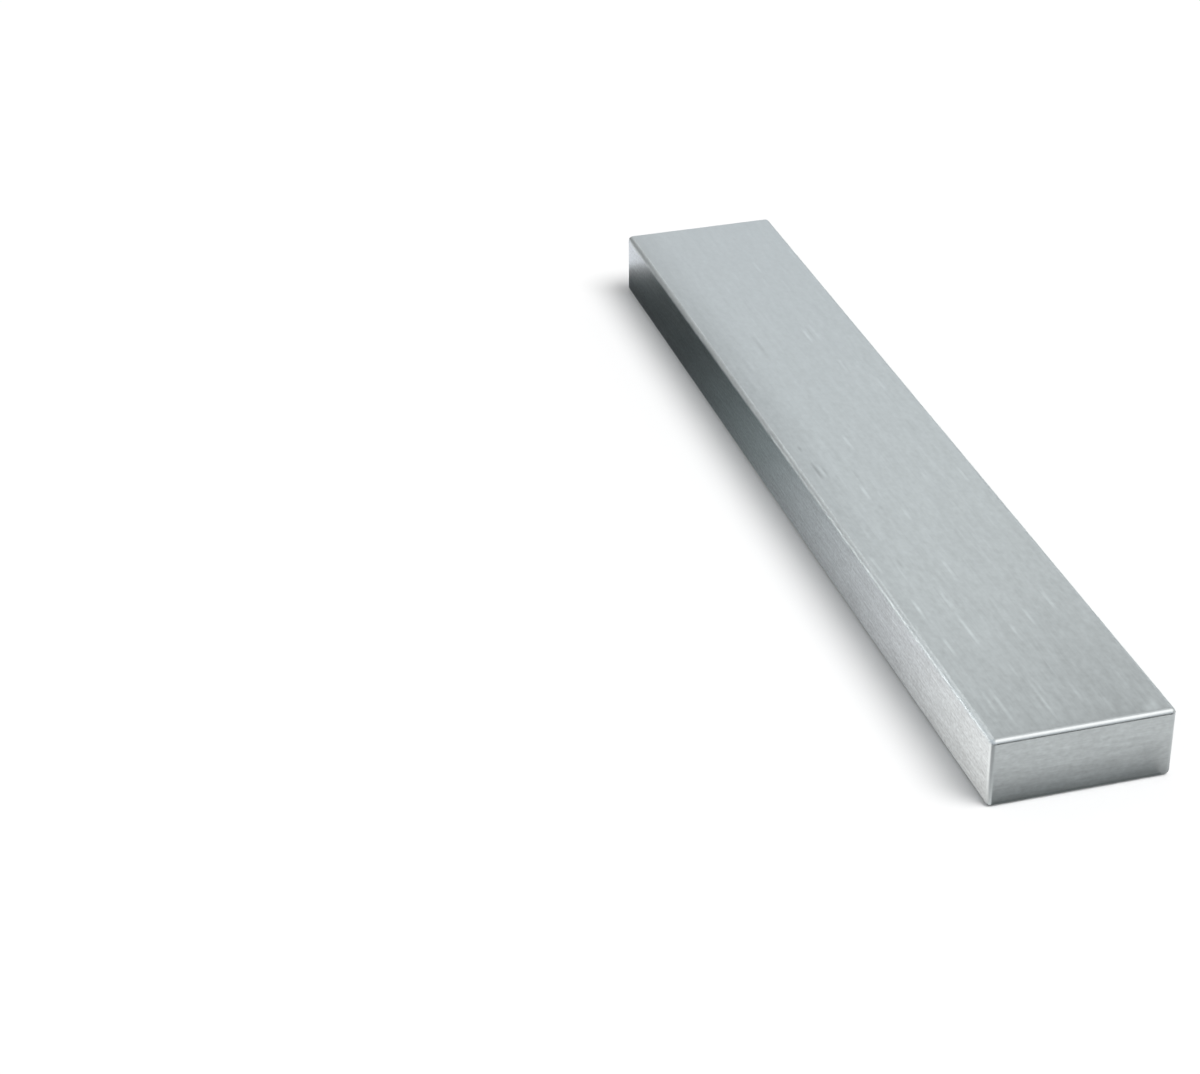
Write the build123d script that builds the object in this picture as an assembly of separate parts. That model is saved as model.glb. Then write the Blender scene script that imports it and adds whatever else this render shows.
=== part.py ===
from build123d import *
import os

# Stainless steel flat bar: one length of solid rectangular stock with a linished finish.
# Millimetres. +X runs along the bar, +Y across its wide face and +Z up through its thickness.
# The origin is at the middle of the face that the bar lies on.

# Stock size
bar_width = 40.0
bar_thickness = 16.0
bar_length = 250.0

# The four long edges are rounded in the section, as drawn and linished bar is.
long_edge_radius = 1.2

# The cut ends are linished square, and their edges are then broken all round.
end_edge_radius = 1.15


def bar_section():
    """The stock's section, which is the same all along the bar: a rectangle with eased corners."""
    return RectangleRounded(bar_width, bar_thickness, long_edge_radius)


def flat_bar():
    """The section drawn out to its length, with the edges round each cut end broken."""
    # Plane.YZ looks along +X, so the section's width lies along Y and its thickness along Z.
    stock = extrude(Plane.YZ * bar_section(), bar_length / 2, both=True)
    near_end = stock.faces().sort_by(Axis.X)[-1]
    far_end = stock.faces().sort_by(Axis.X)[0]
    broken = fillet(near_end.edges() + far_end.edges(), end_edge_radius)
    return Pos(0, 0, bar_thickness / 2) * broken


os.makedirs("parts", exist_ok=True)
export_step(flat_bar(), "parts/flat_bar.step")
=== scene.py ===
import math

import bmesh
import bpy
from bpy.props import FloatProperty, FloatVectorProperty, IntProperty, PointerProperty
from mathutils import Matrix, Vector


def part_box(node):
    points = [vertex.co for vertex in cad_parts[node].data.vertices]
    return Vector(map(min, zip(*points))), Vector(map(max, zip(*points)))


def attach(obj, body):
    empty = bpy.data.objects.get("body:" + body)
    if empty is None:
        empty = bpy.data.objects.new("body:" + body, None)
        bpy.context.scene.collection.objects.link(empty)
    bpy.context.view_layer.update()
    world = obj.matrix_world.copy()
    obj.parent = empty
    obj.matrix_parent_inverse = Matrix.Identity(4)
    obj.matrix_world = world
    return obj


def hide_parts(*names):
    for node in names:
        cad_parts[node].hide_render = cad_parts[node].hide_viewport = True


bl_info = {
    "name": "Flat Bar",
    "version": (1, 0, 0),
    "blender": (4, 5, 0),
    "location": "3D View > Sidebar > Flat Bar",
    "description": "A length of brushed stainless steel flat bar, on a plain studio floor",
    "category": "Add Mesh",
}

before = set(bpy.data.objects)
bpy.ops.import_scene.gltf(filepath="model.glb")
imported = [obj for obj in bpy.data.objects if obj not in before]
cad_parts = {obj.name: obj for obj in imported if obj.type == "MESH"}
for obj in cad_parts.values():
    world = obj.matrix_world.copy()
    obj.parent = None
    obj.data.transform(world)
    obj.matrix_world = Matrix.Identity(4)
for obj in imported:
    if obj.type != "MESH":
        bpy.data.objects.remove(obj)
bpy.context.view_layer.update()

NODE = "flat_bar"
STOCK_LOW, STOCK_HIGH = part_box(NODE)
STOCK_SIZE = STOCK_HIGH - STOCK_LOW
STOCK_MIDDLE = (STOCK_LOW + STOCK_HIGH) / 2
MM = 0.001
QUARTER_TURN = math.pi / 2

# A direction counts as an axis's own when its part along the axis is more than this.
ALIGNED = 0.999


# Values that a user would change


class BarSizes(bpy.types.PropertyGroup):
    """The bar's sizes. Its length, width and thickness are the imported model's own."""

    long_edge_radius: FloatProperty(
        name="Long edge radius",
        description="Rounding of the four edges that run along the bar",
        default=1.2 * MM, unit="LENGTH",
    )
    end_edge_radius: FloatProperty(
        name="End edge radius",
        description="Rounding of the edges round each cut end",
        default=1.15 * MM, unit="LENGTH",
    )
    edge_steps: IntProperty(
        name="Edge steps", description="Flats that make up each rounded edge", default=8, min=2,
    )
    length_steps: IntProperty(
        name="Length steps", description="Parts that the bar is divided into along its length",
        default=100, min=2, max=101,
    )
    edge_wander: FloatProperty(
        name="Edge wander", description="How far the hand-eased edges stray from true, inwards",
        default=0.06 * MM, unit="LENGTH",
    )


class SteelLook(bpy.types.PropertyGroup):
    """The brushed stainless finish."""

    steel: FloatVectorProperty(
        name="Steel", description="Colour of the steel", subtype="COLOR", size=3,
        default=(0.53, 0.565, 0.57), min=0.0, max=1.0,
    )
    roughness: FloatProperty(
        name="Roughness", description="Middle roughness of the brushed faces", subtype="FACTOR",
        default=0.305, min=0.0, max=1.0,
    )
    stretch: FloatProperty(
        name="Stretch", description="How much the grain stretches reflections across itself",
        subtype="FACTOR", default=0.6, min=0.0, max=1.0,
    )
    grain_depth: FloatProperty(
        name="Grain depth", description="Depth of the brush lines", unit="LENGTH",
        default=0.004 * MM,
    )
    wide_contrast: FloatVectorProperty(
        name="Wide faces", size=2, default=(0.5, 1.35),
        description="Contrast of the grain on the wide faces, at the back end and at the front end",
    )
    narrow_contrast: FloatVectorProperty(
        name="Narrow faces", size=2, default=(2.8, 3.6),
        description="Contrast of the grain on the narrow faces, at the back end and at the front end",
    )
    end_contrast: FloatVectorProperty(
        name="Ends", size=2, default=(1.75, 1.75),
        description="Contrast of the grain on the back end and on the front end",
    )


class StudioLook(bpy.types.PropertyGroup):
    """The floor, the lamp and the camera."""

    floor_colour: FloatVectorProperty(
        name="Floor", description="Colour of the floor", subtype="COLOR", size=3,
        default=(0.86, 0.86, 0.86), min=0.0, max=1.0,
    )
    fill: FloatProperty(
        name="Fill", description="Brightness of the light from all round", default=0.5, min=0.0,
    )
    lamp_strength: FloatProperty(
        name="Lamp", description="Strength of the lamp", default=2.5, min=0.0,
    )
    lamp_width: FloatProperty(
        name="Lamp width", description="How wide the lamp looks from the bar", subtype="ANGLE",
        default=math.radians(38.0),
    )
    camera_lens: FloatProperty(
        name="Lens", description="Focal length in millimetres on a 36 mm sensor", default=84.11,
    )


# Small helpers for modelling


def select_only(piece):
    """Leaves just this piece selected, and active."""
    bpy.ops.object.select_all(action="DESELECT")
    piece.select_set(True)
    bpy.context.view_layer.objects.active = piece


def select_edges(piece, wanted):
    """In edit mode, selects just the edges whose two ends pass the test wanted(a, b)."""
    bpy.ops.mesh.select_mode(type="EDGE")
    bpy.ops.mesh.select_all(action="DESELECT")
    shape = bmesh.from_edit_mesh(piece.data)
    for edge in shape.edges:
        a, b = (corner.co for corner in edge.verts)
        edge.select_set(wanted(a, b))
    shape.select_flush_mode()
    bmesh.update_edit_mesh(piece.data)


def runs_along(a, b, axis):
    """True if the edge from a to b runs along that axis."""
    run = b - a
    return abs(run[axis]) > ALIGNED * run.length


# The bar

# Lines cut along each wide face and along each narrow face, so that no facet is long and thin
WIDE_CUTS = 12
NARROW_CUTS = 5


def model_bar(sizes):
    """A block with its four long edges rounded, divided up, and then rounded off at each end."""
    body_size = STOCK_SIZE - Vector((2 * sizes.end_edge_radius, 0, 0))
    bpy.ops.object.select_all(action="DESELECT")
    bpy.ops.mesh.primitive_cube_add(size=1.0, location=STOCK_MIDDLE, scale=body_size)
    bar = bpy.context.object
    bar.name = bar.data.name = "brushed_bar"
    bpy.ops.object.transform_apply(location=True, rotation=True, scale=True)
    bpy.ops.object.mode_set(mode="EDIT")
    select_edges(bar, lambda a, b: runs_along(a, b, 0))
    bpy.ops.mesh.bevel(
        offset=sizes.long_edge_radius, segments=sizes.edge_steps, profile=0.5, affect="EDGES",
    )
    select_edges(bar, lambda a, b: runs_along(a, b, 0))
    bpy.ops.mesh.subdivide(number_cuts=sizes.length_steps - 1)
    for axis, cuts in ((1, WIDE_CUTS), (2, NARROW_CUTS)):
        # The edges to cut are those that cross nearly the whole flat of a face.
        shortest = 0.9 * (STOCK_SIZE[axis] - 2 * sizes.long_edge_radius)
        select_edges(bar, lambda a, b: runs_along(a, b, axis) and (b - a).length > shortest)
        bpy.ops.mesh.subdivide(number_cuts=cuts)
    # Each end grows outwards in steps round a quarter circle.
    bpy.ops.mesh.select_mode(type="FACE")
    bpy.ops.mesh.select_all(action="DESELECT")
    shape = bmesh.from_edit_mesh(bar.data)
    for face in shape.faces:
        face.select_set(abs(face.normal.x) > ALIGNED)
    bmesh.update_edit_mesh(bar.data)
    for step in range(sizes.edge_steps):
        start = QUARTER_TURN * step / sizes.edge_steps
        end = QUARTER_TURN * (step + 1) / sizes.edge_steps
        bpy.ops.mesh.inset(
            thickness=sizes.end_edge_radius * (math.cos(start) - math.cos(end)),
            depth=sizes.end_edge_radius * (math.sin(end) - math.sin(start)),
            use_even_offset=True, use_boundary=True,
        )
    bpy.ops.mesh.select_all(action="SELECT")
    bpy.ops.mesh.normals_make_consistent(inside=False)
    bpy.ops.object.mode_set(mode="OBJECT")
    return bar


def unroll(bar, sizes):
    """Lays the bar's skin out flat: the four long faces as one sheet with the grain along U, and the
    two ends beside each other above it, with their grain along U too."""
    radius = sizes.long_edge_radius
    core_y = STOCK_SIZE.y / 2 - radius
    core_z = STOCK_SIZE.z / 2 - radius
    corner = radius * QUARTER_TURN
    girth = 4 * core_y + 4 * core_z + 4 * corner
    # The skin is cut open along one lower edge, and runs over the bottom, right, top and left faces.
    flats = (2 * core_y, 2 * core_z, 2 * core_y, 2 * core_z)
    starts = (0.0, 2 * core_y + corner, 2 * core_y + 2 * core_z + 2 * corner,
              4 * core_y + 2 * core_z + 3 * corner)
    tiny = 1e-9

    def round_the_section(y, z):
        """How far round the section a point lies."""
        at_y = max(-core_y, min(core_y, y))
        at_z = max(-core_z, min(core_z, z))
        out_y, out_z = y - at_y, z - at_z
        if abs(out_y) < tiny and out_z < 0:
            return starts[0] + at_y + core_y
        if abs(out_z) < tiny and out_y > 0:
            return starts[1] + at_z + core_z
        if abs(out_y) < tiny:
            return starts[2] + core_y - at_y
        if abs(out_z) < tiny:
            return starts[3] + core_z - at_z
        # The turn starts from straight down, and each corner takes a quarter of it.
        turn = (math.atan2(out_z, out_y) + QUARTER_TURN) % (4 * QUARTER_TURN)
        quarter = int(turn // QUARTER_TURN)
        return starts[quarter] + flats[quarter] + radius * (turn - quarter * QUARTER_TURN)

    flat_x = STOCK_SIZE.x / 2 - sizes.end_edge_radius
    long_x = flat_x + sizes.end_edge_radius * QUARTER_TURN

    def along(x):
        """How far a point lies from the middle along the skin, which rounds off at each end."""
        over = abs(x) - flat_x
        if over <= 0:
            return x
        turn = math.asin(min(1.0, over / sizes.end_edge_radius))
        return math.copysign(flat_x + sizes.end_edge_radius * turn, x)

    mesh = bar.data
    layer = mesh.uv_layers.new(name="OFBake")
    mesh.uv_layers.active = layer
    # The places of the sheet and of the two ends in the square, as parts of its side
    margin = 0.01
    sheet_top = 0.86
    end_low, end_high = 0.88, 0.985
    half_gap = 0.01
    for face in mesh.polygons:
        is_end = abs(face.normal.x) > ALIGNED
        places = []
        for index in face.loop_indices:
            point = mesh.vertices[mesh.loops[index].vertex_index].co - STOCK_MIDDLE
            if is_end:
                u = (point.y / STOCK_SIZE.y + 0.5) * (0.5 - margin - half_gap)
                u = u + margin if point.x < 0 else u + 0.5 + half_gap
                v = end_low + (point.z / STOCK_SIZE.z + 0.5) * (end_high - end_low)
                places.append([index, u, v])
            else:
                u = margin + (along(point.x) / long_x + 1) / 2 * (1 - 2 * margin)
                places.append([index, u, round_the_section(point.y, point.z) / girth])
        if not is_end:
            # A face that ends where the skin is cut open has its last points at the full girth.
            if max(v for _, _, v in places) - min(v for _, _, v in places) > 0.5:
                for place in places:
                    if place[2] < 0.5:
                        place[2] += 1.0
            for place in places:
                place[2] = margin + place[2] * (sheet_top - margin)
        for index, u, v in places:
            layer.data[index].uv = (u, v)


def ease_unevenly(bar, sizes):
    """Lets the rounded edges stray a little, always inwards, as hand-eased edges do."""
    near_edge = bar.vertex_groups.new(name="near_edge")
    half = STOCK_SIZE / 2
    reach = 2 * sizes.long_edge_radius
    for vertex in bar.data.vertices:
        point = vertex.co - STOCK_MIDDLE
        gaps = sorted(half[axis] - abs(point[axis]) for axis in range(3))
        # The second smallest gap to a face is how far the point is from the nearest edge.
        weight = max(0.0, 1.0 - gaps[1] / reach)
        if weight > 0:
            near_edge.add([vertex.index], weight, "REPLACE")
    waves = bpy.data.textures.new("edge_waves", "CLOUDS")
    waves.noise_scale = 9 * MM
    waves.noise_depth = 2
    select_only(bar)
    stray = bar.modifiers.new("stray", "DISPLACE")
    stray.texture = waves
    stray.texture_coords = "LOCAL"
    stray.vertex_group = "near_edge"
    stray.strength = sizes.edge_wander
    stray.mid_level = 1.0
    bpy.ops.object.modifier_apply(modifier=stray.name)
    bar.vertex_groups.clear()


def shade(bar):
    """Smooth rounded edges between flat faces."""
    select_only(bar)
    bpy.ops.object.shade_smooth()
    even = bar.modifiers.new("even", "WEIGHTED_NORMAL")
    even.mode = "FACE_AREA"
    even.weight = 50
    bpy.ops.object.modifier_apply(modifier=even.name)


# Shader node groups


def add_node(tree, kind, values=None, links=None, **settings):
    """Adds a node with its settings, the values of its inputs, and the sockets that feed them."""
    node = tree.nodes.new(kind)
    for name, value in settings.items():
        setattr(node, name, value)
    for name, value in (values or {}).items():
        node.inputs[name].default_value = value
    for name, socket in (links or {}).items():
        tree.links.new(socket, node.inputs[name])
    return node


def add_ramp(tree, value, stops):
    """The light at a value between 0 and 1. Each stop is a value and a brightness or a colour."""
    ramp = tree.nodes.new("ShaderNodeValToRGB")
    lights = [
        Vector((light,) * 3) if isinstance(light, float) else Vector(light) for _, light in stops
    ]
    highest = max(max(light) for light in lights)
    while len(ramp.color_ramp.elements) < len(stops):
        ramp.color_ramp.elements.new(1.0)
    for element, (position, _), light in zip(ramp.color_ramp.elements, stops, lights):
        element.position = position
        element.color = (*(light / highest), 1.0)
    tree.links.new(value, ramp.inputs["Fac"])
    return add_node(
        tree, "ShaderNodeVectorMath", {"Scale": highest}, {0: ramp.outputs["Color"]},
        operation="SCALE",
    ).outputs[0]


def new_group(name, inputs, outputs):
    """A shader node group with these sockets: inputs are (name, kind, default), outputs (name, kind)."""
    group = bpy.data.node_groups.new(name, "ShaderNodeTree")
    for label, kind, default in inputs:
        socket = group.interface.new_socket(label, in_out="INPUT", socket_type="NodeSocket" + kind)
        if default is not None:
            socket.default_value = default
    for label, kind in outputs:
        group.interface.new_socket(label, in_out="OUTPUT", socket_type="NodeSocket" + kind)
    start = group.nodes.new("NodeGroupInput")
    end = group.nodes.new("NodeGroupOutput")
    return group, start.outputs, end.inputs


def weighted_sum(tree, terms):
    """The sum of the terms, each of which is a socket and its weight."""
    total = None
    for socket, weight in terms:
        step = add_node(
            tree, "ShaderNodeMath", {1: weight, 2: 0.0}, {0: socket}, operation="MULTIPLY_ADD",
        )
        if total is not None:
            tree.links.new(total, step.inputs[2])
        total = step.outputs[0]
    return total


def grain_lines_group():
    """Brush lines along X, from about -1 to 1. Size holds their length along X and width across."""
    group, given, result = new_group(
        "Grain lines",
        (("Place", "Vector", None), ("Size", "Vector", None), ("Detail", "Float", 0.0)),
        (("Level", "Float"),),
    )
    stretched = add_node(
        group, "ShaderNodeVectorMath", links={0: given["Place"], 1: given["Size"]},
        operation="DIVIDE",
    )
    lines = add_node(
        group, "ShaderNodeTexNoise", {"Scale": 1.0, "Roughness": 0.6},
        {"Vector": stretched.outputs[0], "Detail": given["Detail"]},
    )
    # The noise lies mostly between 0.2 and 0.8.
    level = add_node(
        group, "ShaderNodeMapRange", {"From Min": 0.2, "From Max": 0.8, "To Min": -1.0, "To Max": 1.0},
        {"Value": lines.outputs["Fac"]}, clamp=False,
    )
    group.links.new(level.outputs[0], result["Level"])
    return group


def strokes_group():
    """Single brush strokes scattered at random along X, the dark ones below 0 and the bright ones
    above it, up to 1. Each row of cells is shifted by its own amount, and few cells hold a stroke."""
    longest_shift = 37.0
    fade = 4.0
    darkest = -0.6
    group, given, result = new_group(
        "Strokes",
        (("Place", "Vector", None), ("Size", "Vector", None), ("Share", "Float", 0.1)),
        (("Level", "Float"),),
    )

    def math_node(operation, first, second=None):
        """The result of a Math node on numbers or sockets."""
        node = add_node(group, "ShaderNodeMath", operation=operation)
        for index, value in enumerate((first, second)):
            if isinstance(value, (int, float)):
                node.inputs[index].default_value = value
            elif value is not None:
                group.links.new(value, node.inputs[index])
        return node.outputs[0]

    scaled = add_node(
        group, "ShaderNodeVectorMath", links={0: given["Place"], 1: given["Size"]},
        operation="DIVIDE",
    )
    axes = add_node(group, "ShaderNodeSeparateXYZ", links={0: scaled.outputs[0]}).outputs
    row = math_node("FLOOR", axes["Y"])
    shift = add_node(group, "ShaderNodeTexWhiteNoise", links={"W": row}, noise_dimensions="1D")
    along = math_node("ADD", axes["X"], math_node("MULTIPLY", shift.outputs["Value"], longest_shift))
    cell = add_node(
        group, "ShaderNodeCombineXYZ", links={"X": math_node("FLOOR", along), "Y": row},
    )
    chance = add_node(
        group, "ShaderNodeTexWhiteNoise", links={"Vector": cell.outputs[0]}, noise_dimensions="2D",
    )
    picked = math_node("LESS_THAN", chance.outputs["Value"], given["Share"])
    traits = add_node(group, "ShaderNodeSeparateColor", links={0: chance.outputs["Color"]}).outputs
    # Each stroke fades out towards its ends and its sides.
    from_end = math_node("PINGPONG", along, 0.5)
    from_side = math_node("PINGPONG", axes["Y"], 0.5)
    faded = math_node(
        "MULTIPLY",
        math_node("SMOOTH_MIN", math_node("MULTIPLY", from_end, fade), 1.0),
        math_node("SMOOTH_MIN", math_node("MULTIPLY", from_side, fade), 1.0),
    )
    # Most are bright and some are dark.
    strength = add_node(
        group, "ShaderNodeMapRange", {"To Min": darkest, "To Max": 1.0}, {"Value": traits["Green"]},
    )
    level = math_node("MULTIPLY", math_node("MULTIPLY", picked, faded), strength.outputs[0])
    group.links.new(level, result["Level"])
    return group


def near_edge_group():
    """How near a point lies to the closest edge of the bar: 1 on the edge, 0 at Reach from it."""
    group, given, result = new_group(
        "Near edge",
        (("Place", "Vector", None), ("Reach", "Float", 0.002)),
        (("Level", "Float"),),
    )
    from_middle = add_node(
        group, "ShaderNodeVectorMath", {1: STOCK_MIDDLE}, {0: given["Place"]}, operation="SUBTRACT",
    )
    out = add_node(
        group, "ShaderNodeVectorMath", links={0: from_middle.outputs[0]}, operation="ABSOLUTE",
    )
    gaps = add_node(
        group, "ShaderNodeVectorMath", {0: STOCK_SIZE / 2}, {1: out.outputs[0]}, operation="SUBTRACT",
    )
    x, y, z = add_node(group, "ShaderNodeSeparateXYZ", links={0: gaps.outputs[0]}).outputs
    # The middle one of the three gaps is the distance to the closest edge.
    low = add_node(group, "ShaderNodeMath", links={0: x, 1: y}, operation="MINIMUM").outputs[0]
    high = add_node(group, "ShaderNodeMath", links={0: x, 1: y}, operation="MAXIMUM").outputs[0]
    upper = add_node(group, "ShaderNodeMath", links={0: high, 1: z}, operation="MINIMUM").outputs[0]
    gap = add_node(group, "ShaderNodeMath", links={0: low, 1: upper}, operation="MAXIMUM").outputs[0]
    near = add_node(
        group, "ShaderNodeMapRange", {"From Min": 0.0, "To Min": 1.0, "To Max": 0.0},
        {"Value": gap, "From Max": given["Reach"]}, interpolation_type="SMOOTHSTEP",
    )
    group.links.new(near.outputs[0], result["Level"])
    return group


# Strokes that stand out on the upper face, with a few broad patches of painted shade and small patches
# of painted highlight beside the front edge. Each has its middle (x, y) and its length and width in
# millimetres, and how much brighter or darker it is.
UPPER_MARKS_AND_PAINTED_LIGHT = (
    (85.5, -8.6, 16.0, 1.1, 0.32),
    (75.0, -15.5, 9.0, 1.1, 0.32),
    (60.5, -13.5, 8.0, 0.9, 0.14),
    (56.5, -12.5, 6.0, 1.1, -0.20),
    (75.5, -8.0, 4.0, 0.9, 0.14),
    (114.0, -13.1, 18.0, 1.2, 0.22),
    (112.0, -15.0, 12.0, 1.4, 0.14),
    (114.5, -4.4, 17.0, 1.1, 0.28),
    (89.0, 0.5, 9.0, 1.1, 0.19),
    (84.5, 5.6, 8.0, 1.1, 0.19),
    (101.5, -5.7, 8.0, 1.1, 0.15),
    (21.5, 7.0, 6.0, 1.0, 0.15),
    (27.5, -5.8, 6.0, 1.0, 0.12),
    (119.0, 7.7, 10.0, 1.2, 0.18),
    (12.5, -15.6, 10.0, 1.1, -0.30),
    (13.0, -14.6, 9.0, 0.9, 0.18),
    (13.5, -13.9, 8.0, 0.9, -0.16),
    (1.5, -15.8, 4.0, 1.1, -0.22),
    (-54.0, 8.2, 13.0, 1.2, 0.11),
    (-54.0, 7.0, 13.0, 1.0, -0.10),
    (-54.0, 5.7, 12.0, 1.2, 0.09),
    (-50.5, -7.5, 20.0, 1.6, -0.13),
    (-34.0, -15.0, 26.0, 2.6, 0.07),
    # Painted shade: a long darker band along the upper left edge
    (-40.0, -20.0, 300.0, 20.0, -0.21),
    # Painted shade: a broad darker patch over the front end
    (125.0, 8.0, 96.0, 44.0, -0.10),
    # Painted highlight: brighter patches just inside the front edge, widening its highlight
    (123.0, 14.8, 5.0, 3.4, 0.30),
    (122.0, 16.3, 7.0, 2.4, 0.26),
    (122.8, -5.0, 5.0, 4.0, 0.08),
    # Painted shade: a broad darker patch at the front end on the left
    (125.0, -18.0, 90.0, 30.0, -0.09),
)


def marks_and_painted_light_group(marks):
    """The brightness of all those strokes, painted shade and painted highlight together at a place on
    the bar.
    """
    group, given, result = new_group("Upper marks and painted light", (("Place", "Vector", None),), (("Level", "Float"),))
    terms = []
    for x, y, length, width, amount in marks:
        within = add_node(
            group, "ShaderNodeMapping",
            {"Location": Vector((x, y, STOCK_HIGH.z / MM)) * MM,
             "Scale": Vector((length, width, width)) * MM / 2},
            {"Vector": given["Place"]}, vector_type="TEXTURE",
        )
        mark = add_node(
            group, "ShaderNodeTexGradient", links={"Vector": within.outputs[0]},
            gradient_type="SPHERICAL",
        )
        terms.append((mark.outputs["Fac"], amount))
    group.links.new(weighted_sum(group, terms), result["Level"])
    return group


def linished_group():
    """The linished finish: grain lines of four sizes, single strokes and handled edges."""
    group, given, result = new_group(
        "Linished finish",
        (("Place", "Vector", None), ("Turned place", "Vector", None), ("Contrast", "Float", 1.0),
         ("Strokes", "Float", 0.1), ("Roughness", "Float", 0.3), ("Edge dullness", "Float", 0.05)),
        (("Tone", "Float"), ("Roughness", "Float"), ("Height", "Float")),
    )
    lines = grain_lines_group()
    strokes = strokes_group()
    near_edge = near_edge_group()

    def placed(inner, values, place="Turned place"):
        """The level of an inner group with these values of its inputs."""
        node = group.nodes.new("ShaderNodeGroup")
        node.node_tree = inner
        for name, value in values.items():
            node.inputs[name].default_value = value
        group.links.new(given[place], node.inputs["Place"])
        return node.outputs["Level"]

    hairlines = placed(lines, {"Size": Vector((7.0, 0.4, 0.4)) * MM, "Detail": 0.0})
    streaks = placed(lines, {"Size": Vector((16.0, 1.5, 1.5)) * MM, "Detail": 1.0})
    flecks = placed(lines, {"Size": Vector((1.9, 1.2, 1.2)) * MM, "Detail": 1.0})
    smudges = placed(lines, {"Size": Vector((30.0, 6.0, 6.0)) * MM, "Detail": 2.0})
    single = placed(strokes, {"Size": Vector((8.0, 0.9, 0.9)) * MM, "Share": 0.05})
    handled = placed(near_edge, {"Reach": 1.6 * MM}, "Place")

    lined = weighted_sum(
        group, ((hairlines, 0.02), (streaks, 0.045), (flecks, 0.06), (smudges, 0.015)),
    )
    uneven = add_node(
        group, "ShaderNodeMath", links={0: single, 1: given["Strokes"], 2: lined},
        operation="MULTIPLY_ADD",
    )
    # Handling has rubbed the grain nearly smooth along the edges.
    edge_wear = 0.9
    kept = add_node(
        group, "ShaderNodeMath", {1: -edge_wear, 2: 1.0}, {0: handled}, operation="MULTIPLY_ADD",
    )
    contrast = add_node(
        group, "ShaderNodeMath", links={0: kept.outputs[0], 1: given["Contrast"]},
        operation="MULTIPLY",
    ).outputs[0]
    tone = add_node(
        group, "ShaderNodeMath", {2: 1.0}, {0: uneven.outputs[0], 1: contrast},
        operation="MULTIPLY_ADD",
    )
    group.links.new(tone.outputs[0], result["Tone"])
    rough = weighted_sum(group, ((streaks, 0.018), (smudges, 0.01)))
    duller = add_node(
        group, "ShaderNodeMath", links={0: handled, 1: given["Edge dullness"], 2: rough},
        operation="MULTIPLY_ADD",
    )
    total = add_node(
        group, "ShaderNodeMath", links={0: duller.outputs[0], 1: given["Roughness"]}, operation="ADD",
    )
    group.links.new(total.outputs[0], result["Roughness"])
    height = weighted_sum(group, ((hairlines, 0.1), (streaks, 0.4), (flecks, 0.2), (single, 0.2)))
    relief = add_node(
        group, "ShaderNodeMath", links={0: height, 1: contrast}, operation="MULTIPLY",
    )
    group.links.new(relief.outputs[0], result["Height"])
    return group


def steel_material(name, look, linished, contrast, turn, finer, strokes, depth, dullness, marks):
    """Linished steel whose grain runs along X once the place is turned, with any marks added. Its
    contrast is for the back end and the front end. Finer is how many times its lines are finer along
    and across than usual, strokes how strong its single strokes are, depth how many times it is
    deeper than usual, and dullness the roughness that is added at the edges."""
    material = bpy.data.materials.new(name)
    material.use_nodes = True
    tree = material.node_tree
    surface = tree.nodes["Principled BSDF"]
    place = add_node(tree, "ShaderNodeTexCoord").outputs["Object"]
    turned = add_node(
        tree, "ShaderNodeMapping", {"Rotation": turn, "Scale": finer},
        {"Vector": place},
    )
    finish = tree.nodes.new("ShaderNodeGroup")
    finish.node_tree = linished
    graded = add_node(
        tree, "ShaderNodeMapRange",
        {"From Min": STOCK_LOW.x, "From Max": STOCK_HIGH.x, "To Min": contrast[0],
         "To Max": contrast[1]},
        {"Value": add_node(tree, "ShaderNodeSeparateXYZ", links={0: place}).outputs["X"]},
    )
    tree.links.new(graded.outputs[0], finish.inputs["Contrast"])
    finish.inputs["Strokes"].default_value = strokes
    finish.inputs["Roughness"].default_value = look.roughness
    finish.inputs["Edge dullness"].default_value = dullness
    tree.links.new(place, finish.inputs["Place"])
    tree.links.new(turned.outputs[0], finish.inputs["Turned place"])
    tone = finish.outputs["Tone"]
    # The marks add real strokes, painted shade and painted highlight to the tone.
    if marks:
        marked = tree.nodes.new("ShaderNodeGroup")
        marked.node_tree = marks
        tree.links.new(place, marked.inputs["Place"])
        tone = add_node(
            tree, "ShaderNodeMath", links={0: tone, 1: marked.outputs["Level"]}, operation="ADD",
        ).outputs[0]
    colour = add_node(
        tree, "ShaderNodeVectorMath", {0: look.steel[:]}, {"Scale": tone}, operation="SCALE",
    )
    bump = add_node(
        tree, "ShaderNodeBump", {"Strength": 1.0, "Distance": look.grain_depth * depth},
        {"Height": finish.outputs["Height"]},
    )
    tangent = add_node(tree, "ShaderNodeTangent", direction_type="UV_MAP", uv_map="OFBake")
    surface.inputs["Metallic"].default_value = 1.0
    surface.inputs["Anisotropic"].default_value = look.stretch
    # The tangent runs along the grain, and a quarter turn lays the stretch across it.
    surface.inputs["Anisotropic Rotation"].default_value = 0.25
    tree.links.new(colour.outputs[0], surface.inputs["Base Color"])
    tree.links.new(finish.outputs["Roughness"], surface.inputs["Roughness"])
    tree.links.new(bump.outputs[0], surface.inputs["Normal"])
    tree.links.new(tangent.outputs[0], surface.inputs["Tangent"])
    return material


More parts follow.
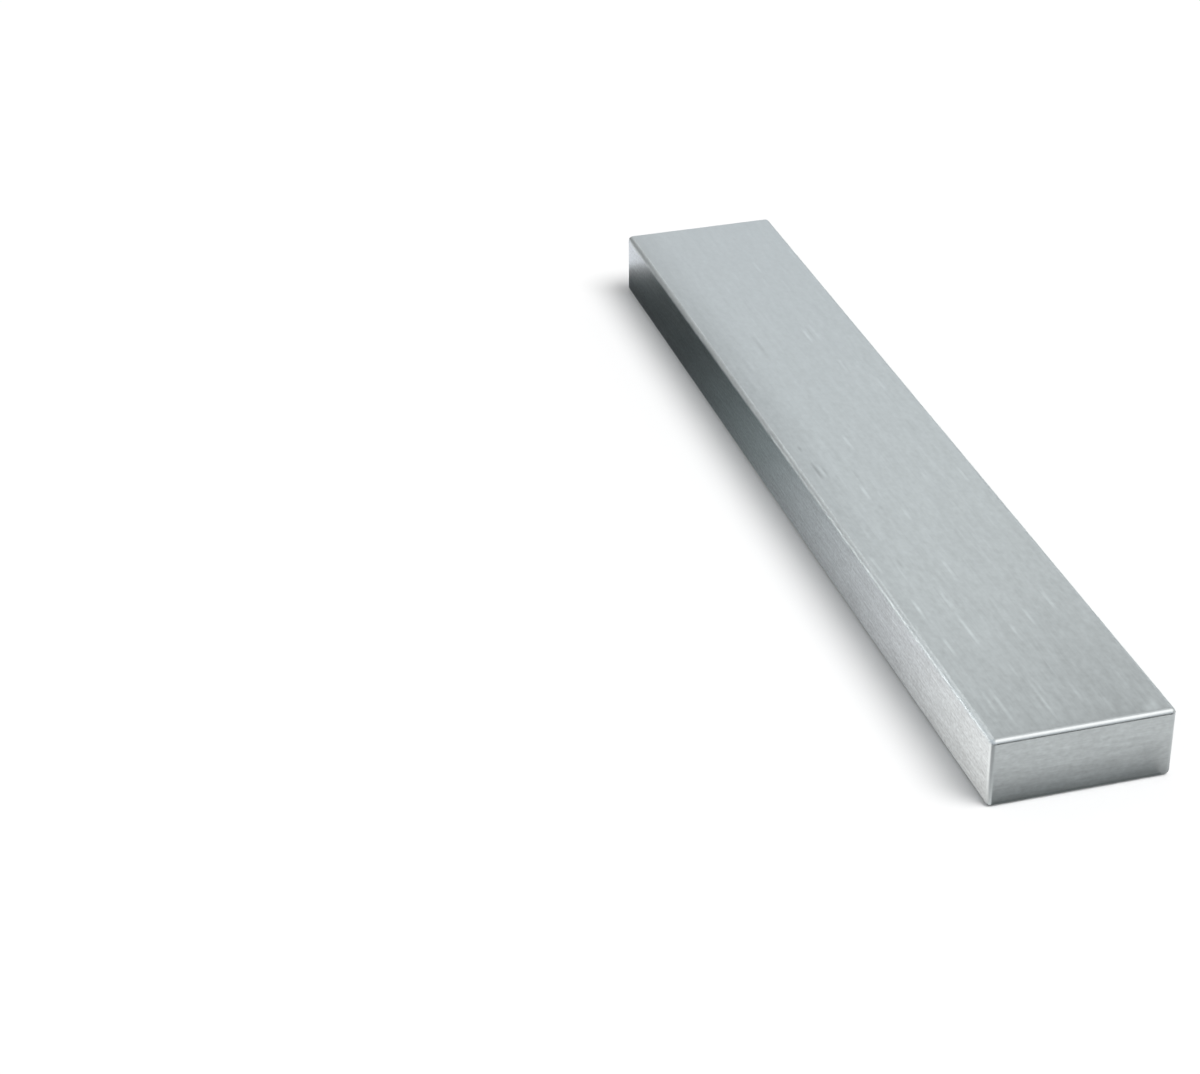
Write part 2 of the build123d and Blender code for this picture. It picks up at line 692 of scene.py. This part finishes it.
def finish_bar(bar, sizes, look):
    """One finish for the wide faces, one for the narrow faces and one for the ends."""
    linished = linished_group()
    bar.data.materials.clear()
    bar.data.materials.append(steel_material(
        "brushed_wide_faces", look, linished, look.wide_contrast, turn=(0, 0, 0),
        finer=(1.0, 1.0, 1.0), strokes=0.13, depth=1.0, dullness=0.05, marks=marks_and_painted_light_group(UPPER_MARKS_AND_PAINTED_LIGHT),
    ))
    bar.data.materials.append(steel_material(
        "brushed_narrow_faces", look, linished, look.narrow_contrast, turn=(QUARTER_TURN, 0, 0),
        finer=(1.8, 2.4, 2.4), strokes=0.02, depth=0.5, dullness=0.13, marks=None,
    ))
    bar.data.materials.append(steel_material(
        "brushed_ends", look, linished, look.end_contrast, turn=(0, QUARTER_TURN, QUARTER_TURN),
        finer=(0.5, 1.3, 1.3), strokes=0.03, depth=0.5, dullness=0.05, marks=None,
    ))
    flat_x = STOCK_SIZE.x / 2 - sizes.end_edge_radius
    flat_y = STOCK_SIZE.y / 2 - sizes.long_edge_radius
    for face in bar.data.polygons:
        if abs(face.center.x) > flat_x:
            face.material_index = 2
        elif abs(face.center.y) > flat_y:
            face.material_index = 1


# The stage

# The way to the lamp, over the front end on the right
LAMP_SIDE = (0.36, 0.33, 0.87)

# The way to the glow that the steel mirrors in place of the lamp, and its light by how near a place
# in the sky is to it
GLOW_SIDE = (0.48, 0.38, 0.79)
GLOW_STOPS = ((0.0, 0.0), (0.86, 0.0), (0.93, (1.2, 1.13, 1.11)), (1.0, (1.3, 1.225, 1.2)))

# The middle of the grey ring in the mirrored sky, and the sky's light by how near a place is to it.
# The ring is low on the right and nearly overhead on the left.
RING_SIDE = (0.0, 0.6, 0.8)
SKY_STOPS = (
    (0.0, (0.86, 0.90, 0.955)), (0.47, (0.86, 0.90, 0.955)), (0.56, (0.94, 0.97, 0.985)),
    (0.62, (1.02, 1.035, 1.035)), (0.66, (0.96, 0.97, 0.972)), (0.70, 0.5), (0.76, 0.5),
    (0.86, 1.0),
)

# The camera's place, and how many degrees it is turned from -X towards +Y, down and over
CAMERA_PLACE = (0.53895, -0.21637, 0.32913)
CAMERA_HEADING = 15.802
CAMERA_PITCH = 30.474
CAMERA_ROLL = -0.498


# The heights over the floor of a card that lies on it, and of a small one that lies over another
OVER_FLOOR = 0.2 * MM
OVER_CARD = 0.4 * MM

NEARLY_BLACK = (0.04, 0.05, 0.053)


def lying(corners, height=OVER_FLOOR):
    """The corners of a card that lies flat."""
    return tuple((x, y, height) for x, y in corners)


def plain(light):
    """The stops of a card that has the same light all over."""
    return ((0.0, light), (1.0, light))


# What the steel mirrors of the studio. Each card has its name, its four corners, its light along the
# way from the first corner to the second, and how that changes from the first corner to the last.
CARDS = (
    # Flat on the floor along the left face, from the back end to the front end
    ("side_strip", lying(((-0.139, -0.0202), (0.129, -0.0202), (0.129, -0.35), (-0.139, -0.35))),
     ((0.0, 0.5), (0.015, 0.2), (0.03, (0.08, 0.094, 0.1)), (0.05, (0.035, 0.045, 0.049)),
      (0.1, (0.019, 0.027, 0.03)), (0.22, (0.034, 0.045, 0.049)), (0.33, (0.13, 0.155, 0.162)),
      (0.42, (0.28, 0.315, 0.325)), (0.55, (0.57, 0.59, 0.61)), (0.75, (0.95, 0.94, 0.96)),
      (1.0, (1.55, 1.5, 1.47))),
     ((0.0, 0.55), (0.012, 0.75), (0.025, 1.0), (0.05, 1.15))),
    # Past the back end, in line with the left face: bright close by and dark further off
    ("side_strip_gap",
     lying(((-0.2, -0.036), (-0.139, -0.036), (-0.139, -0.0202), (-0.2, -0.0202))),
     plain((1.05, 1.06, 1.125)), None),
    ("side_strip_far", lying(((-0.7, -0.5), (-0.139, -0.5), (-0.139, -0.036), (-0.7, -0.37))),
     plain(NEARLY_BLACK), None),
    # By the front end's left upright edge
    ("corner_shade",
     lying(((0.127, -0.019), (0.127, -0.08), (0.17, -0.08), (0.17, -0.019)), OVER_CARD),
     ((0.0, 0.9), (0.1, 0.62), (0.2, 0.5), (1.0, 0.45)), None),
    # Flat on the floor in front of the front end, darkest where the bar shades it
    ("front_strip", lying(((0.1240, -0.019), (0.156, -0.019), (0.156, 0.4), (0.1240, 0.4))),
     ((0.0, (0.23, 0.24, 0.24)), (0.05, (0.17, 0.18, 0.18)), (0.165, (0.34, 0.35, 0.355)),
      (0.29, 0.61), (0.47, 0.92), (0.6, 1.08), (1.0, 1.3)), None),
    # Less shaded by the front end's right corner
    ("front_strip_corner",
     lying(((0.1235, 0.018), (0.1345, 0.018), (0.1345, 0.06), (0.1235, 0.06)), OVER_CARD),
     plain(0.9), ((0.0, 0.4), (0.06, 0.6), (0.13, 0.75), (0.25, 1.0), (1.0, 1.0))),
    # Dark further in front, mirrored as a thin line where the front end starts to round off
    ("front_edge", lying(((0.158, -0.4), (0.9, -0.4), (0.9, 1.0), (0.158, 1.0))), plain(0.05), None),
    # Standing on the left behind the bar, far off
    ("left_back",
     ((-1.6, -0.9, 0.0), (-0.78, -0.52, 0.0), (-0.78, -0.52, 0.45), (-1.6, -0.9, 0.8)),
     plain(NEARLY_BLACK), None),
    # Standing there nearer by, low and very bright, and mirrored in the rounded upper left edge
    ("left_panel",
     ((-0.68, -0.52, 0.0), (-0.42, -0.52, 0.0), (-0.42, -0.52, 0.08), (-0.68, -0.52, 0.08)),
     ((0.0, 2.8), (0.12, 3.4), (0.35, 6.6), (0.55, 9.2), (1.0, 10.4)), None),
    # Sloping up from there, and mirrored higher on that edge
    ("left_slope",
     ((-0.68, -0.52, 0.08), (-0.34, -0.52, 0.08), (-0.34, -0.3, 0.29), (-0.68, -0.3, 0.29)),
     ((0.0, 0.1), (0.4, 0.15), (0.52, 0.5), (0.62, 1.0), (0.75, 1.25), (1.0, 1.3)), None),
    # Standing behind the bar, darker towards the left
    ("back_shade",
     ((-0.95, 0.2, 0.0), (-0.95, -0.62, 0.0), (-0.95, -0.62, 0.85), (-0.95, 0.2, 0.85)),
     ((0.0, 0.92), (0.24, 0.85), (0.4, 0.76), (0.58, 0.48), (0.71, 0.34), (0.83, 0.2), (1.0, 0.1)),
     None),
    # Level and overhead behind the bar on the left, which brightens the front part of that edge
    ("left_overhead",
     ((-0.36, 0.04, 0.3), (-0.12, 0.04, 0.3), (-0.12, -0.30, 0.3), (-0.36, -0.30, 0.3)),
     ((0.0, 0.95), (0.2, 1.35), (0.4, 1.4), (1.0, 1.35)), ((0.0, 0.8), (0.15, 1.0), (1.0, 1.0))),
    # Standing low down in front of the bar on the right
    ("front_right", ((0.9, -0.3, 0.0), (0.6, 1.0, 0.0), (0.6, 1.0, 0.15), (0.9, -0.3, 0.15)),
     plain(0.75), None),
)


def add_lamp(look):
    """A broad soft lamp a long way off. The steel mirrors a glow in the sky in place of it."""
    bpy.ops.object.light_add(type="SUN", location=Vector(LAMP_SIDE) * 2)
    lamp = bpy.context.object
    lamp.name = lamp.data.name = "key"
    lamp.data.angle = look.lamp_width
    lamp.data.energy = look.lamp_strength
    lamp.rotation_euler = (-Vector(LAMP_SIDE)).to_track_quat("-Z", "Y").to_euler()
    lamp.visible_glossy = False


def add_card(name, corners, along, across):
    """A flat card between four corners, seen only in reflections. Its light follows the stops
    along, from the first corner to the second, times any stops across, from the first to the last.
    Each stop is part of the way, and a brightness or a colour."""
    bpy.ops.mesh.primitive_plane_add(size=1.0, location=(0, 0, 0))
    card = bpy.context.object
    card.name = name
    first, second, third, fourth = (Vector(corner) for corner in corners)
    for vertex, corner in zip(card.data.vertices, (first, second, fourth, third)):
        vertex.co = corner
    material = bpy.data.materials.new(name)
    material.use_nodes = True
    tree = material.node_tree
    tree.nodes.clear()
    place = add_node(tree, "ShaderNodeTexCoord").outputs["Object"]
    from_first = add_node(
        tree, "ShaderNodeVectorMath", {1: first}, {0: place}, operation="SUBTRACT",
    ).outputs[0]
    level = None
    for run, stops in ((second - first, along), (fourth - first, across)):
        if stops is None:
            continue
        part = add_node(
            tree, "ShaderNodeVectorMath", {1: run / run.length_squared}, {0: from_first},
            operation="DOT_PRODUCT",
        )
        scaled = add_ramp(tree, part.outputs["Value"], stops)
        if level is None:
            level = scaled
        else:
            level = add_node(
                tree, "ShaderNodeVectorMath", links={0: level, 1: scaled}, operation="MULTIPLY",
            ).outputs[0]
    glow = add_node(tree, "ShaderNodeEmission", links={"Color": level})
    out = tree.nodes.new("ShaderNodeOutputMaterial")
    tree.links.new(glow.outputs[0], out.inputs["Surface"])
    card.data.materials.append(material)
    card.visible_camera = False
    card.visible_diffuse = False
    card.visible_shadow = False


def set_world(look):
    """White to the camera, a pale sky with a grey ring and a glow in the steel's reflections, and a
    dimmer light from all round for the rest."""
    world = bpy.data.worlds.new("studio")
    bpy.context.scene.world = world
    world.use_nodes = True
    tree = world.node_tree
    rays = add_node(tree, "ShaderNodeLightPath")
    mirrored = add_node(
        tree, "ShaderNodeMath", operation="ADD", use_clamp=True,
        links={0: rays.outputs["Is Transmission Ray"], 1: rays.outputs["Is Glossy Ray"]},
    )
    towards = add_node(tree, "ShaderNodeTexCoord").outputs["Generated"]
    lights = []
    for side, stops in ((RING_SIDE, SKY_STOPS), (Vector(GLOW_SIDE).normalized(), GLOW_STOPS)):
        nearness = add_node(
            tree, "ShaderNodeVectorMath", {1: side}, {0: towards}, operation="DOT_PRODUCT",
        )
        lights.append(add_ramp(tree, nearness.outputs["Value"], stops))
    sky = add_node(
        tree, "ShaderNodeVectorMath", links={0: lights[0], 1: lights[1]}, operation="ADD",
    ).outputs[0]
    # Sockets 6 and 7 are the two colours of a Mix node, and 2 is its colour out.
    lit = add_node(
        tree, "ShaderNodeMix", {6: (look.fill, look.fill, look.fill, 1.0)},
        {7: sky, "Factor": mirrored.outputs[0]}, data_type="RGBA",
    )
    seen = add_node(
        tree, "ShaderNodeMix", {7: (1.0, 1.0, 1.0, 1.0)},
        {6: lit.outputs[2], "Factor": rays.outputs["Is Camera Ray"]}, data_type="RGBA",
    )
    tree.links.new(seen.outputs[2], tree.nodes["Background"].inputs["Color"])


def add_floor(look):
    """A plain matt floor, much wider than the view."""
    bpy.ops.mesh.primitive_plane_add(size=12.0, location=(0, 0, 0))
    floor = bpy.context.object
    floor.name = "floor"
    material = bpy.data.materials.new("floor")
    material.use_nodes = True
    surface = material.node_tree.nodes["Principled BSDF"]
    surface.inputs["Base Color"].default_value = (*look.floor_colour, 1.0)
    surface.inputs["Roughness"].default_value = 0.9
    surface.inputs["Specular IOR Level"].default_value = 0.1
    floor.data.materials.append(material)


def add_camera(look):
    """The camera, which looks down on the front end from its left."""
    bpy.ops.object.camera_add(location=CAMERA_PLACE)
    camera = bpy.context.object
    camera.name = "camera"
    camera.data.lens = look.camera_lens
    camera.data.sensor_width = 36.0
    camera.data.clip_start = 0.01
    aim = (
        Matrix.Rotation(QUARTER_TURN - math.radians(CAMERA_HEADING), 4, "Z")
        @ Matrix.Rotation(QUARTER_TURN - math.radians(CAMERA_PITCH), 4, "X")
        @ Matrix.Rotation(math.radians(CAMERA_ROLL), 4, "Z")
    )
    camera.rotation_euler = aim.to_euler()
    bpy.context.scene.camera = camera


# Operators


class FLATBAR_OT_model(bpy.types.Operator):
    """Model the bar in place of the plain packed one"""

    bl_idname = "flat_bar.model"
    bl_label = "Model the Bar"

    def execute(self, context):
        sizes = context.scene.bar_sizes
        bar = model_bar(sizes)
        unroll(bar, sizes)
        ease_unevenly(bar, sizes)
        shade(bar)
        finish_bar(bar, sizes, context.scene.steel_look)
        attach(bar, "root")
        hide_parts(NODE)
        return {"FINISHED"}


class FLATBAR_OT_stage(bpy.types.Operator):
    """Set out the floor, the lamp, the cards and the camera"""

    bl_idname = "flat_bar.stage"
    bl_label = "Set the Stage"

    def execute(self, context):
        look = context.scene.studio_look
        context.scene.view_settings.view_transform = "Standard"
        set_world(look)
        add_floor(look)
        add_lamp(look)
        for card in CARDS:
            add_card(*card)
        add_camera(look)
        return {"FINISHED"}


class FLATBAR_PT_panel(bpy.types.Panel):
    """The bar's values and operators, in the sidebar"""

    bl_label = "Flat Bar"
    bl_space_type = "VIEW_3D"
    bl_region_type = "UI"
    bl_category = "Flat Bar"

    def draw(self, context):
        for name in ("bar_sizes", "steel_look", "studio_look"):
            group = getattr(context.scene, name)
            box = self.layout.box()
            # The group's own properties come after the two that every group has.
            for prop in group.bl_rna.properties.keys()[2:]:
                box.prop(group, prop)
        self.layout.operator(FLATBAR_OT_model.bl_idname)
        self.layout.operator(FLATBAR_OT_stage.bl_idname)


CLASSES = (BarSizes, SteelLook, StudioLook, FLATBAR_OT_model, FLATBAR_OT_stage, FLATBAR_PT_panel)


def register():
    """Adds the classes and the values that they work from."""
    for cls in CLASSES:
        bpy.utils.register_class(cls)
    bpy.types.Scene.bar_sizes = PointerProperty(type=BarSizes)
    bpy.types.Scene.steel_look = PointerProperty(type=SteelLook)
    bpy.types.Scene.studio_look = PointerProperty(type=StudioLook)


def unregister():
    """Takes them away again."""
    del bpy.types.Scene.studio_look
    del bpy.types.Scene.steel_look
    del bpy.types.Scene.bar_sizes
    for cls in reversed(CLASSES):
        bpy.utils.unregister_class(cls)


def main():
    """Makes the bar and its stage."""
    register()
    bpy.ops.flat_bar.model()
    bpy.ops.flat_bar.stage()


if __name__ == "__main__":
    main()
